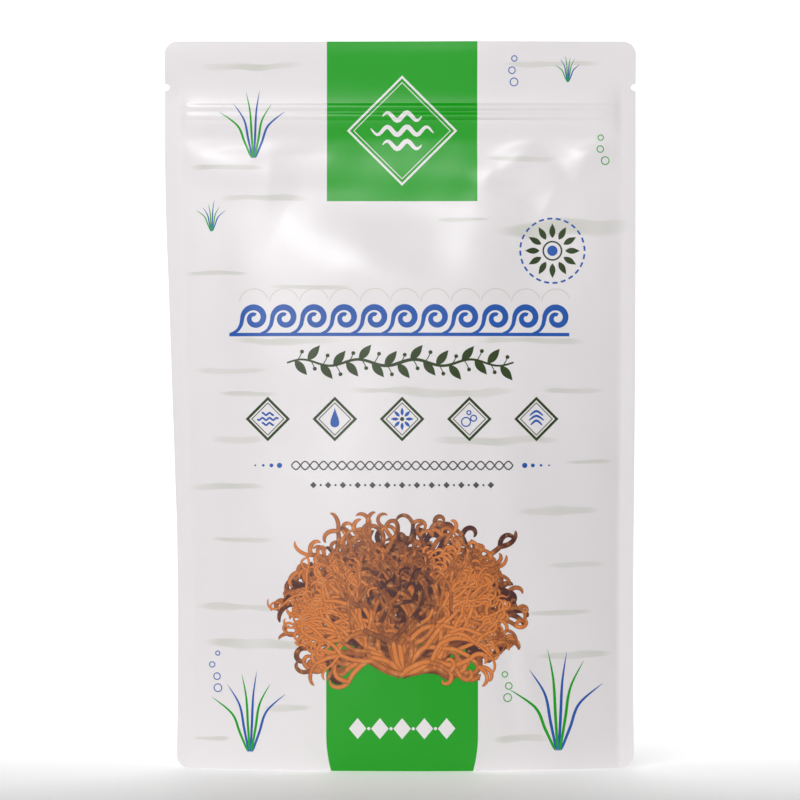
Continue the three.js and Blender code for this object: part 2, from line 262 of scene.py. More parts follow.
in_front, behind = (half_depth(0, fullest_height, side) for side in (-1, 1))
print(f"belly stands out {in_front:.1f} mm in front and {behind:.1f} mm behind")

# %% [markdown]
# ## Film panels
# Each panel is one sheet with round corners and a tear notch in each side. A flat grid is the
# simplest start: its vertices are moved row by row onto the shape, with close rows where the outline
# turns sharply. A Solidify modifier then gives the sheet its thickness, inwards, so that the outer
# face stays where the shape function put it.

# %% Rows and outline of a panel
def cut_in(z):
    """How far the round corners and the tear notches cut in from the side at a height."""
    from_end = min(z, pouch_height - z)
    corner = 0.0
    if from_end < corner_radius:
        corner = corner_radius - math.sqrt(corner_radius ** 2 - (corner_radius - from_end) ** 2)
    from_notch = abs(z - notch_height) / notch_half_span
    return corner + (notch_depth * math.sqrt(1 - from_notch ** 2) if from_notch < 1 else 0.0)


def rows_between(start, end, step):
    count = max(round((end - start) / step), 1)
    return [mix(start, end, k / count) for k in range(count)]


# Each band: the height where it starts, and the step between its rows
notch_margin = 1.5
row_bands = [
    (0, 0.26), (corner_radius, 1.3), (240, 0.6), (246, 0.3), (255, 0.8),
    (notch_height - notch_margin, 0.15), (notch_height + notch_margin, 0.9),
    (pouch_height - corner_radius, 0.26), (pouch_height, 0),
]
panel_rows = [
    z for (start, step), (end, _) in zip(row_bands, row_bands[1:]) for z in rows_between(start, end, step)
]
panel_rows.append(pouch_height)
seal_columns = 6
film_columns = 128
panel_columns = film_columns + 2 * seal_columns


def column_x(column, z, cut):
    """Where a column crosses a row. The cut moves only the columns inside the side seal."""
    left, right = side_edges(z)
    if column < seal_columns:
        return mix(left + cut, left + side_seal, column / seal_columns)
    if column > panel_columns - seal_columns:
        return mix(right - cut, right - side_seal, (panel_columns - column) / seal_columns)
    share = (column - seal_columns) / film_columns
    return mix(left + side_seal, right - side_seal, share)


print(f"a panel has {len(panel_rows)} rows and {panel_columns + 1} columns of vertices")


# %% Make a piece, and a sheet from a grid
def piece_from(form, name):
    """Turns a finished form into a piece of the scene."""
    mesh = bpy.data.meshes.new(name)
    form.to_mesh(mesh)
    form.free()
    piece = bpy.data.objects.new(name, mesh)
    bpy.context.scene.collection.objects.link(piece)
    return piece


def thickened(piece, thickness, sharp_angle):
    """Gives a sheet its thickness, inwards from its outer face."""
    wall = piece.modifiers.new("wall", "SOLIDIFY")
    wall.thickness = thickness * MM
    wall.offset = -1
    return settled(piece, sharp_angle)


def grid_sheet(name, rows, columns, place, flipped):
    """A grid of rows by columns faces, each vertex put by place(row, column), then thickened."""
    form = bmesh.new()
    bmesh.ops.create_grid(form, x_segments=columns, y_segments=rows, size=0.5)
    for vertex in form.verts:
        column = round((vertex.co.x + 0.5) * columns)
        row = round((vertex.co.y + 0.5) * rows)
        vertex.co = Vector(place(row, column)) * MM
    if flipped:
        bmesh.ops.reverse_faces(form, faces=form.faces[:])
    return thickened(piece_from(form, name), film_thickness, 40)


def settled(piece, sharp_angle):
    """Applies the modifiers, and shades the faces smooth up to an angle in degrees."""
    evaluated = piece.evaluated_get(bpy.context.evaluated_depsgraph_get())
    result = bpy.data.meshes.new_from_object(evaluated)
    piece.modifiers.clear()
    old, piece.data = piece.data, result
    name = old.name
    bpy.data.meshes.remove(old)
    piece.data.name = name
    piece.data.polygons.foreach_set("use_smooth", [True] * len(piece.data.polygons))
    piece.data.set_sharp_from_angle(angle=math.radians(sharp_angle))
    return piece


def panel(name, side):
    def place(row, column):
        z = panel_rows[row]
        x = column_x(column, z, cut_in(z))
        return x, film_y(x, z, side), z

    return grid_sheet(name, len(panel_rows) - 1, panel_columns, place, side > 0)


front_film = panel("front_film", -1)
back_film = panel("back_film", 1)
print(f"each panel has {len(front_film.data.polygons)} faces")

# %% [markdown]
# ## Bottom gusset
# The gusset is a third sheet, folded upwards between the panels. Its lower edges are sealed to them
# along a curve that is low in the middle and climbs to the fold at the sides, and when the pouch is
# filled it opens into the base. It could be cut out of the panels' mesh, but a sheet of its own shows
# the real layers at the edge. It is again a grid: each column goes up inside the front panel, over
# the ridge and down inside the back panel.

# %% Gusset sheet
leaf_bend, least_leaf = 1.3, 2
rim_clearance = 0.15
skirt_steps, leaf_steps = 12, 20
half_steps = skirt_steps + leaf_steps


def gusset_half(column, side):
    """Points up one half of a gusset column, from the rim to the ridge."""
    def inside_panel(z):
        return half_depth(column_x(column, z, 0), z, side) - film_thickness - layer_gap

    left, right = side_edges(0)
    foot = column_x(column, 0, 0)
    across = min(abs(2 * (foot - (left + right) / 2) / (right - left - 2 * side_seal)), 1.0)
    seal = gusset_fold - (gusset_fold - skirt_height) * math.sqrt(1 - across ** 2)
    seal = min(seal, gusset_fold - least_leaf)
    at_seal = inside_panel(seal)
    top = layer_gap / 2 + film_thickness
    leaf = gusset_fold - seal
    ridge = seal + math.sqrt(max(leaf ** 2 - (at_seal - top) ** 2, (leaf / 2) ** 2))
    from_edge = min(foot - left, right - foot, corner_radius)
    trim = corner_radius - math.sqrt(max(corner_radius ** 2 - (corner_radius - from_edge) ** 2, 0))
    points = []
    for k in range(skirt_steps):
        z = mix(trim + rim_clearance, seal, k / skirt_steps)
        points.append((column_x(column, z, 0), side * inside_panel(z), z))
    for k in range(leaf_steps + 1):
        rise = k / leaf_steps
        z = mix(seal, ridge, rise)
        depth = mix(at_seal, top, rise ** leaf_bend)
        points.append((column_x(column, z, 0), side * depth, z))
    return points


gusset_columns = [
    gusset_half(column, -1) + gusset_half(column, 1)[::-1] for column in range(panel_columns + 1)
]
base_gusset = grid_sheet(
    "base_gusset", panel_columns, 2 * half_steps + 1,
    lambda row, column: gusset_columns[row][column], False,
)
print(f"the gusset has {len(base_gusset.data.polygons)} faces")

# %% [markdown]
# ## Press-to-close zip
# The zip is two extruded strips, each welded to one panel: one carries two hooked ribs, the other
# the channels that they snap into. Extruded parts keep one section along their whole length, so each
# strip is a section drawn once and pushed along X. The strips sit inside the closed pouch and only
# emboss the film, but they are real parts, so they are modelled.

# %% Zip strips
flange_thickness = 0.2
strip_clearance = 0.25
zip_half_length = 77.0
rib_half_width, rib_reach = 0.28, 1.45
wall_half_width, wall_reach, channel_half_gap = 0.18, 1.3, 0.75
hook_depth, hook_barb, hook_bevel = 0.3, 0.12, 0.08


def extruded_strip(name, section, half_length):
    """A closed strip: a section of (y, z) points pushed along X, with both ends filled."""
    form = bmesh.new()
    left, right = (
        [form.verts.new(Vector((end * half_length, y, z)) * MM) for y, z in section]
        for end in (-1, 1)
    )
    form.faces.new(left)
    form.faces.new(right)
    for k in range(len(section)):
        form.faces.new((left[k - 1], left[k], right[k], right[k - 1]))
    bmesh.ops.recalc_face_normals(form, faces=form.faces[:])
    return settled(piece_from(form, name), 30)


def strip_section(side, bars):
    """A flange against one panel, with bars that reach from it: (height, half width, reach)."""
    def outer_at(z):
        return min(belly(z), belly(zip_height)) + layer_gap / 2 - strip_clearance

    lower_end, upper_end = zip_height - flange_below, zip_height + flange_above
    outer_side = [(outer_at(z), z) for z in spaced_along(upper_end, lower_end, 20)]
    inner_low = [(y - flange_thickness, z) for y, z in outer_side[:9:-1]]
    inner_high = [(y - flange_thickness, z) for y, z in outer_side[4::-1]]
    inner = outer_at(zip_height) - flange_thickness
    points = [*outer_side, *inner_low]
    for at, half_width, reach in bars:
        foot, head = zip_height + at - half_width, zip_height + at + half_width
        tip = inner - reach
        neck = tip + hook_depth
        points += [(inner, foot), (neck, foot), (neck, foot - hook_barb), (tip, foot + hook_bevel)]
        points += [(tip, head - hook_bevel), (neck, head + hook_barb), (neck, head), (inner, head)]
    points += inner_high
    return [(side * y, z) for y, z in points]


rib_bars = [(at * zip_ridge_offset, rib_half_width, rib_reach) for at in (-1, 1)]
channel_bars = [
    (at * zip_ridge_offset + off, wall_half_width, wall_reach)
    for at in (-1, 1) for off in (-channel_half_gap, channel_half_gap)
]
rib_strip = extruded_strip("zip_rib_strip", strip_section(-1, rib_bars), zip_half_length)
channel_strip = extruded_strip("zip_channel_strip", strip_section(1, channel_bars), zip_half_length)
print(f"each strip is {flange_below + flange_above:.1f} mm tall and {2 * zip_half_length:.0f} mm long")

# %% [markdown]
# ## Inks
# A print is colour with almost no thickness, and it has to follow every fold of the film. An image
# would need a picture file, so each motif is drawn instead, flat, in millimetres across (x) and up
# (z), out of small patches. All patches of one colour make one piece, which is then laid on the film
# by the same shape function, less than a fifth of a millimetre proud. The cells stay near one and a
# half millimetres, so that the ink bends where the film bends.

# %% Drawing tools
block_centre, block_half_width = 0.7, 28.7
upper_block_end, lower_block_end = 216.4, 49.0
block_narrowing, narrowing_height = 1.8, 14.0
ink_cell = 1.5
ink_thickness = 0.03
layer_step = 0.012
leaf_step, finest_line = 0.5, 0.04
zip_cut_reach, zip_cuts = 3.2, 16


def arc(centre, radii, start, end, step=1.1):
    """Points on a circle or a spiral between two angles in degrees; radii are at its two ends."""
    turn = math.radians(end - start)
    count = max(round(abs(turn) * max(radii) / step), 6)
    shares = [k / count for k in range(count + 1)]
    return [
        (centre[0] + mix(*radii, s) * math.cos(math.radians(start) + turn * s),
         centre[1] + mix(*radii, s) * math.sin(math.radians(start) + turn * s))
        for s in shares
    ]


def flowing(knots, step=1.1):
    """A smooth path through a few knots."""
    padded = [Vector(knots[0]), *map(Vector, knots), Vector(knots[-1])]
    path = []
    for a, b, c, d in zip(padded, padded[1:], padded[2:], padded[3:]):
        count = max(round((c - b).length / step), 2)
        for k in range(count):
            t = k / count
            squared, cubed = 2 * a - 5 * b + 4 * c - d, 3 * b - a - 3 * c + d
            path.append(tuple((2 * b + (c - a) * t + squared * t * t + cubed * t ** 3) / 2))
    return [*path, tuple(knots[-1])]


class Ink:
    """Patches of one colour, drawn flat and then laid on the film."""
    def __init__(self):
        self.form = bmesh.new()
        self.tone = self.form.verts.layers.float.new("tone")
        self.across = self.form.verts.layers.float.new("across")

    def patch(self, columns, rows, place, tone=0.0, layer=0):
        made = bmesh.ops.create_grid(self.form, x_segments=columns, y_segments=rows, size=0.5)
        for vertex in made["verts"]:
            along, across = vertex.co.x + 0.5, vertex.co.y + 0.5
            x, z = place(along, across)
            vertex.co = (x, layer, z)
            vertex[self.tone] = tone(along, across) if callable(tone) else tone
            vertex[self.across] = across

    def ribbon(self, path, width, tone=0.0, layer=0):
        """A strip along a path. Its width is a number, or a function of the share along the path."""
        width_at = width if callable(width) else lambda share: width
        closed = math.dist(path[0], path[-1]) < 1e-6
        count = len(path) - 1
        steps = [(Vector(b) - Vector(a)).normalized() for a, b in zip(path, path[1:])]
        sides = []
        for k in range(count + 1):
            before = steps[k - 1] if k or closed else steps[0]
            after = steps[k] if k < count else steps[0 if closed else -1]
            middle = (before + after).normalized()
            sides.append(Vector((-middle.y, middle.x)) / max(middle.dot(after), 0.45))

        def place(along, across):
            k = round(along * count)
            return Vector(path[k]) + sides[k] * (across - 0.5) * width_at(k / count)

        rows = max(math.ceil(max(width_at(k / 8) for k in range(9)) / ink_cell), 1)
        self.patch(count, rows, place, tone, layer)

    def leaf(self, base, tip, width):
        count = max(round(math.dist(base, tip) / leaf_step), 8)
        path = [tuple(Vector(base).lerp(Vector(tip), k / count)) for k in range(count + 1)]
        self.ribbon(path, lambda share: max(width * math.sin(math.pi * share ** 0.85), finest_line))

    def lozenge(self, centre, half_width, half_height):
        count = max(math.ceil(max(half_width, half_height) * 1.5 / ink_cell), 1)
        self.patch(count, count, lambda a, b: (
            centre[0] + (a - b) * half_width, centre[1] + (a + b - 1) * half_height))

    def disc(self, centre, radius):
        def place(along, across):
            a, b = 2 * along - 1, 2 * across - 1
            return (centre[0] + radius * a * math.sqrt(1 - b * b / 2),
                    centre[1] + radius * b * math.sqrt(1 - a * a / 2))

        count = max(math.ceil(2 * radius / ink_cell), 4)
        self.patch(count, count, place)

    def ring(self, centre, radius, width):
        path = arc(centre, (radius, radius), 90, 450, step=0.7)
        self.ribbon([*path[:-1], path[0]], width)

    def laid(self, name, side, lift, mirrored=False):
        """Lays the drawing on the front (side -1) or the back (side 1) as one thin piece."""
        crossing_zip = max(vertex.co.z for vertex in self.form.verts) > zip_height
        cuts = spaced_along(zip_height - zip_cut_reach, zip_height + zip_cut_reach, zip_cuts)
        for z in cuts if crossing_zip else ():
            parts = [*self.form.verts, *self.form.edges, *self.form.faces]
            bmesh.ops.bisect_plane(self.form, geom=parts, plane_co=(0, 0, z), plane_no=(0, 0, 1))
        for vertex in self.form.verts:
            x, layer, z = vertex.co
            x = -x if mirrored else x
            y = film_y(x, z, side) + side * (lift + layer_step * layer)
            vertex.co = Vector((x, y, z)) * MM
        if (side > 0) != mirrored:
            bmesh.ops.reverse_faces(self.form, faces=self.form.faces[:])
        return thickened(piece_from(self.form, name), ink_thickness, 60)


blue, dark, green, white, grey, pale, picture = (Ink() for _ in range(7))
print("inks ready")

# %% [markdown]
# ## Bands, medallions and small ornament
# The front's middle is a stack of ornament: a scroll of running waves, a leaf garland, a row of
# lozenge medallions, then two fine lines. Each is one unit drawn once and repeated, as a pattern
# cutter would do it.

# %% Wave scroll and leaf garland
scroll_unit, scroll_count, scroll_height = 11.5, 11, 171.8
scroll_drop, spiral_radii, echo_radii = 6.3, (4.75, 1.2), (5.9, 5.4)
scroll_start = -scroll_unit * scroll_count / 2 + block_centre
scroll_end = scroll_start + scroll_unit * scroll_count


def scroll_band(ink, echo):
    """Running waves: each rises from the band's foot and curls into a spiral."""
    foot = scroll_height - scroll_drop
    for unit in range(scroll_count):
        cx, cz = scroll_start + (unit + 0.62) * scroll_unit, scroll_height
        rise = flowing([(cx - 9.4, foot + 0.1), (cx - 6.6, cz - 4.7), (cx - 4.9, cz - 2.0)], 0.8)[:-1]
        curl = arc((cx, cz), spiral_radii, 184, -290, 0.8)
        ink.ribbon([*rise, *curl], lambda share: mix(1.0, 2.3, smooth_step(share, 0, 0.3)) - share ** 3)
        echo.ribbon(arc((cx, cz + 5.5), echo_radii, 172, 20), 0.35, 1.0, layer=1)
    ink.ribbon([(x, foot) for x in spaced_along(scroll_start - 2.6, scroll_end + 0.4, 100)], 1.3)


scroll_band(blue, pale)

garland_half, garland_height, garland_leaves = 43.0, 154.8, 17
garland_wave, garland_wave_scale = 1.2, 3.4


def on_garland(x):
    return x, garland_height + garland_wave * math.sin(x / garland_wave_scale)


garland = [on_garland(x) for x in spaced_along(-garland_half, garland_half, 84)]
dark.ribbon(garland, lambda share: 1.25 - 0.6 * abs(2 * share - 1))
for k in range(garland_leaves):
    x, z = on_garland(mix(-garland_half + 3, garland_half - 5, k / (garland_leaves - 1)))
    up = 1 if k % 2 else -1
    dark.leaf((x, z), (x + 4.6, z + up * 5.6), 3.1)
    dark.ribbon(flowing([(x + 1.0, z), (x + 2.0, z - up * 1.6), (x + 2.6, z - up * 3)]), 0.35)
    dark.disc((x + 2.7, z - up * 3.3), 0.75)
print("bands drawn")

# %% Medallions
medallion_height, medallion_half, medallion_pitch = 133.4, 7.8, 25.5


def lozenge_outline(centre, half, step=1.3):
    corners = [(0, 1), (-1, 0), (0, -1), (1, 0), (0, 1)]
    count = max(round(half * math.sqrt(2) / step), 4)
    path = []
    for (x0, z0), (x1, z1) in zip(corners, corners[1:]):
        path += [(centre[0] + half * mix(x0, x1, k / count), centre[1] + half * mix(z0, z1, k / count))
                 for k in range(count)]
    return [*path, path[0]]


def wavy(centre, length, height, period, step=0.8):
    count = round(length / step)
    return [(centre[0] + d, centre[1] + height * math.sin(2 * math.pi * d / period))
            for d in spaced_along(-length / 2, length / 2, count)]


def petals(ink, middle, count, inner, outer, width):
    """Leaves that point outwards all round a middle."""
    for k in range(count):
        turn = 2 * math.pi * k / count
        way = Vector((math.cos(turn), math.sin(turn)))
        ink.leaf(tuple(Vector(middle) + way * inner), tuple(Vector(middle) + way * outer), width)


def waves_motif(cx, cz):
    for rise, length in ((1.9, 4.6), (0, 8), (-1.9, 4.6)):
        blue.ribbon(wavy((cx, cz + rise), length, 0.45, 2.7, 0.4), 0.7)


def drop_motif(cx, cz):
    drop = [(cx, z) for z in spaced_along(cz + 4.3, cz - 3.2, 26)]
    blue.ribbon(drop, lambda share: max(
        6.4 * share ** 1.25 * math.sqrt(max(1 - share ** 3, 0)), finest_line))


def flower_motif(cx, cz):
    petals(blue, (cx, cz), 8, 1.3, 4.3, 1.2)
    dark.disc((cx, cz), 0.8)


def bubbles_motif(cx, cz):
    for dx, dz, radius in ((-1.3, -1.1, 1.7), (1.6, 0.3, 1.15), (-0.2, 2.4, 0.8)):
        blue.ring((cx + dx, cz + dz), radius, 0.45)


def arches_motif(cx, cz):
    for rise in (-2.3, -0.5, 1.3):
        half = 3 - 0.35 * abs(rise)
        knots = [(cx - half, cz + rise), (cx, cz + rise + 1.7), (cx + half, cz + rise)]
        blue.ribbon(flowing(knots, 0.5), lambda share: 0.35 + 0.5 * math.sin(math.pi * share))


motifs = (waves_motif, drop_motif, flower_motif, bubbles_motif, arches_motif)
for k, motif in enumerate(motifs):
    middle = (block_centre + (k - 2) * medallion_pitch, medallion_height)
    dark.ribbon(lozenge_outline(middle, medallion_half), 0.95)
    dark.ribbon(lozenge_outline(middle, medallion_half - 1.7), 0.3)
    motif(*middle)
print("medallions drawn")

# %% Fine lines
braid_height, braid_half, braid_wave, braid_period = 115.8, 42, 1.6, 7
dots_height, dots_pitch = 108.4, 5.6
for start in (0, braid_period / 2):
    grey.ribbon(
        [(x + block_centre, braid_height + braid_wave * math.sin(2 * math.pi * (x + start) / braid_period))
         for x in spaced_along(-braid_half, braid_half, 112)], 0.5)
for k in range(-6, 7):
    grey.lozenge((block_centre + k * dots_pitch, dots_height), 1.25, 1.25)
    if k < 6:
        grey.disc((block_centre + (k + 0.5) * dots_pitch, dots_height), 0.42)
for side in (-1, 1):
    for k, radius in enumerate((1.0, 0.75, 0.5, 0.35)):
        blue.disc((block_centre + side * (46.5 + 3.1 * k), braid_height), radius)
print("fine lines drawn")

# %% [markdown]
# ## Emblem, rosette, blades and brush strokes
# The green block carries a white lozenge with waves, and the lower one a row of white diamonds.
# Blades of sea grass and rising bubbles stand in the corners, and pale brush strokes lie under
# everything. Blades taper along a flowing path, and a stroke's edges wander by smooth noise.

# %% Emblem and rosette
emblem = (block_centre, 243.4)
diamonds_height, diamonds_pitch = 16.5, 8.4
white.ribbon(lozenge_outline(emblem, 20.5), 0.8)
white.ribbon(lozenge_outline(emblem, 18.4), 0.3)
for rise, length in ((5.4, 15), (0, 24), (-5.4, 15)):
    white.ribbon(
        wavy((emblem[0], emblem[1] + rise), length, 1.5, 7.5),
        lambda share: 0.3 + 1.5 * math.sin(math.pi * share) ** 0.6)
for k in range(-2, 3):
    white.lozenge((block_centre + diamonds_pitch * k, diamonds_height), 3.3, 4.0)
    if k < 2:
        white.disc((block_centre + diamonds_pitch * (k + 0.5), diamonds_height), 0.6)

rosette, rosette_radius, rosette_dashes = (58, 197.5), 12.3, 24
petals(dark, rosette, 12, 4.9, 10.4, 2.3)
for k in range(rosette_dashes):
    start = 360 / rosette_dashes * k
    blue.ribbon(arc(rosette, (rosette_radius, rosette_radius), start, start + 9, 0.8), 0.7)
blue.disc(rosette, 2.0)
dark.ring(rosette, 3.5, 0.6)
print("emblem and rosette drawn")


# %% Blades and bubbles
def blade(ink, foot, height, lean, width):
    knots = [
        foot, (foot[0] + lean * 0.25, foot[1] + height * 0.35),
        (foot[0] + lean * 0.5, foot[1] + height * 0.7), (foot[0] + lean * 1.15, foot[1] + height),
    ]
    ink.ribbon(flowing(knots), lambda share: max(
        width * (1 - share ** 2.2) * (0.5 + 0.5 * share) * min(0.3 + 9 * share, 1), 0.05))


def tuft(inks, foot, height, draws):
    """Sea grass: blades that share a foot, in the two inks by turns."""
    leans = (-0.46, -0.27, -0.1, 0.08, 0.24, 0.42)
    for k, lean in enumerate(leans):
        tall = height * (1 - 0.75 * abs(lean)) * draws.uniform(0.86, 1.0)
        side = foot[0] + lean * height * 0.06
        blade(inks[k % 2], (side, foot[1]), tall, lean * height * 0.8, 0.035 * height + 0.35)


def bubbles(ink, foot, count, draws):
    for k in range(count):
        at = (foot[0] + draws.uniform(-1.6, 1.6), foot[1] + 4.4 * k)
        ink.ring(at, 1.5 - 0.22 * k, 0.35)


draws = random.Random(5)
for foot, height in (((-57, 7), 33), ((60, 7.5), 42), ((-56, 233), 29), ((64, 262), 11), ((-72, 205), 13)):
    tuft((green, blue), foot, height, draws)
bubbles(blue, (-71, 31), 4, draws)
bubbles(green, (40.5, 28), 3, draws)
bubbles(blue, (42, 262), 3, draws)
bubbles(green, (77, 232), 3, draws)
print("blades drawn")


# %% Brush strokes
def brush_stroke(ink, middle, length, height, seed):
    """A stroke with soft edges: its tone fades towards the sides and the ends."""
    def place(along, across):
        end = math.sqrt(max(1 - abs(2 * along - 1) ** 3, 0.004))
        ragged = 0.7 + 0.6 * noise.noise(Vector((along * length / 11, across * 2, seed)))
        drift = 0.35 * height * noise.noise(Vector((along * length / 30, seed, 4)))
        return (middle[0] + (along - 0.5) * length,
                middle[1] + drift + (across - 0.5) * height * end * ragged)

    def tone(along, across):
        ends = smooth_step(min(along, 1 - along), 0, 0.2)
        patchy = 0.8 + 0.5 * noise.noise(Vector((along * length / 14, seed, 9)))
        return ends * (1 - abs(2 * across - 1) ** 5) * patchy

    ink.patch(max(round(length / ink_cell), 6), 6, place, tone)


strokes = [
    (-57, 268, 42, 4.4), (58, 269, 40, 3.4), (-66, 229, 30, 3.6), (-52, 217.5, 36, 3.8),
    (46, 233, 30, 3.4), (62, 205, 54, 9.5), (24, 209, 22, 2.8), (-34, 183.5, 34, 2.6),
    (-70, 189, 26, 3.2), (-44, 163.2, 44, 4.0), (50, 163, 44, 3.6), (-64, 152, 30, 3.2),
    (12, 144.6, 68, 5.6), (-58, 143, 24, 2.8), (66, 144, 26, 3.2), (-62, 126, 22, 3.6),
    (36, 124.8, 52, 4.6), (72, 117, 20, 2.4), (-66, 107, 32, 3.4), (60, 99, 34, 4.4),
    (-60, 88, 26, 3.0), (67, 78, 24, 2.8), (-62, 62, 34, 4.4), (-55, 48, 42, 5.8),
    (60, 60, 28, 3.2), (66, 44, 32, 3.8), (-43, 24, 20, 3.6), (46, 12, 24, 4.4), (-72, 12, 16, 2.6),
]
for k, (x, z, length, height) in enumerate(strokes):
    brush_stroke(pale, (x, z), length, height, k * 1.7)
print(f"{len(strokes)} brush strokes drawn")

# %% [markdown]
# ## The printed seaweed
# The largest motif is a bush of branching seaweed. Such a plant forks in two again and again, and
# its threads curl most at their ends. That is a recursive rule, so a short function that calls
# itself draws it: each call lays one ribbon, then starts two smaller ones at its end, and stops at
# an oval outline. The bush is drawn three times, dark and coarse first and bright and fine last, so
# that the gaps show darker threads behind. A tone grows from the core to the rim, and the shader
# turns it from maroon into orange.

# %% Grow the bush
weed_foot = Vector((0.5, 37.0))
weed_half = Vector((42.5, 34.5))


def reached(at):
    """0 at the plant's foot and 1 on its outline, an ellipse that stands on the foot."""
    x, y = (at.x - weed_foot.x) / weed_half.x, (at.y - weed_foot.y) / weed_half.y
    return (x * x + y * y) / (2 * max(y, 0.02))


def from_core(at):
    return math.hypot((at.x - weed_foot.x) / weed_half.x, (at.y - weed_foot.y) / weed_half.y - 1)


def grow(foot, way, reach, width, level, plant):
    draws = plant["draws"]
    last = level == plant["levels"] or (level and reached(foot) > 0.9)
    bend = draws.choice((-1, 1)) * (draws.uniform(1.4, 4.4) if last else draws.uniform(0.1, 0.9))
    swing = draws.uniform(-1.1, 1.1)
    reach = min(reach, 9.5) if last else reach
    count = max(round(reach / 0.75), 7)
    path, at = [tuple(foot)], foot
    for k in range(count):
        share = k / count
        way += (bend * (0.4 + 1.2 * share) + swing * math.cos(2 * math.pi * share)) / count
        at = at + Vector((math.cos(way), math.sin(way))) * (reach / count)
        path.append(tuple(at))
    patch = noise.noise(Vector((at.x / 9, at.y / 7, plant["layer"])))
    tone = plant["tone"] * (0.25 + 0.75 * smooth_step(from_core(at), 0.1, 0.75)) + 0.9 * patch
    picture.ribbon(
        path, lambda share: width * (math.sqrt(max(1 - share ** 4, 0.04)) if last else 1 - 0.15 * share),
        tone + draws.uniform(-0.16, 0.12), layer=plant["layer"] + draws.uniform(0, 3))
    if last:
        return
    out = (at - weed_foot) / ((at - weed_foot).length + 0.01)
    heading = Vector((math.cos(way), math.sin(way))) * 0.5 + out * 0.5 + Vector((0, 0.08))
    way = math.atan2(heading.y, heading.x)
    split = draws.uniform(0.4, 0.8)
    for side in (-1, 1):
        spread = side * split + draws.uniform(-0.2, 0.2)
        shorter, finer = reach * draws.uniform(0.72, 0.98), width * draws.uniform(0.76, 0.94)
        grow(at, way + spread, shorter, finer, level + 1, plant)


for seed, tone, layer, levels, reach, width, stems in (
    (4, 0.25, 0, 4, 16.0, 3.8, 15), (7, 0.7, 3, 5, 13.6, 3.1, 12), (12, 1.1, 6, 5, 13.0, 2.4, 13),
):
    plant = {"draws": random.Random(seed), "levels": levels, "tone": tone, "layer": layer}
    for k in range(stems):
        slope = math.radians(mix(16, 164, (k + 0.5) / stems))
        grow(weed_foot, slope, reach * plant["draws"].uniform(0.85, 1.15), width, 0, plant)
print(f"the seaweed has {len(picture.form.faces)} cells")

# %% Lay every ink on the front
front_prints = {
    "pale_ink": pale.laid("pale_strokes", -1, 0.03),
    "blue_ink": blue.laid("blue_print", -1, 0.05),
    "dark_green_ink": dark.laid("dark_green_print", -1, 0.055),
    "green_ink": green.laid("green_blades", -1, 0.06),
    "grey_ink": grey.laid("grey_print", -1, 0.05),
    "white_ink": white.laid("white_print", -1, 0.05),
    "seaweed_ink": picture.laid("seaweed_print", -1, 0.06),
}
faces = sum(len(piece.data.polygons) for piece in front_prints.values())
print(f"the front carries {faces} faces of ink")

# %% Draw and lay the plainer back
back_pale, back_blue, back_green = Ink(), Ink(), Ink()
draws = random.Random(9)
scroll_band(back_blue, back_pale)
for foot, height in (((-58, 8), 38), ((56, 7), 30), ((60, 232), 26)):
    tuft((back_green, back_blue), foot, height, draws)
for k, (x, z, length, height) in enumerate(strokes[::-1]):
    brush_stroke(back_pale, (-x, z), length, height, k * 2.3 + 50)
back_prints = {
    "pale_ink": back_pale.laid("back_pale_strokes", 1, 0.03, mirrored=True),
    "blue_ink": back_blue.laid("back_blue_print", 1, 0.05, mirrored=True),
    "green_ink": back_green.laid("back_green_blades", 1, 0.06, mirrored=True),
}
print("back printed")

# %% [markdown]
# ## Shader arithmetic
# Print masks are sums and products of simple shapes, and they read best as such. This small class
# wraps a shader output, so that ordinary Python arithmetic on it adds the Math nodes. Colours don't
# go through it: a Math node would turn them grey, so they are mixed by Mix nodes.

# %% Wrap sockets
class Number:
    def __init__(self, finish, socket):
        self.finish, self.socket = finish, socket

    def math(self, operation, *others):
        inputs = dict(enumerate((self, *others)))
        return self.finish.add("ShaderNodeMath", {"operation": operation}, inputs)

    def __add__(self, other): return self.math("ADD", other)
    def __sub__(self, other): return self.math("SUBTRACT", other)
    def __mul__(self, other): return self.math("MULTIPLY", other)
    def __truediv__(self, other): return self.math("DIVIDE", other)
    def __radd__(self, other): return self + other
    def __rsub__(self, other): return self * -1 + other
    def __rmul__(self, other): return self * other
    def __abs__(self): return self.math("ABSOLUTE")
    def below(self, other): return self.math("LESS_THAN", other)
    def above(self, other): return self.math("GREATER_THAN", other)
    def at_least(self, other): return self.math("MAXIMUM", other)
    def clamped(self): return self.math("MINIMUM", 1).at_least(0)


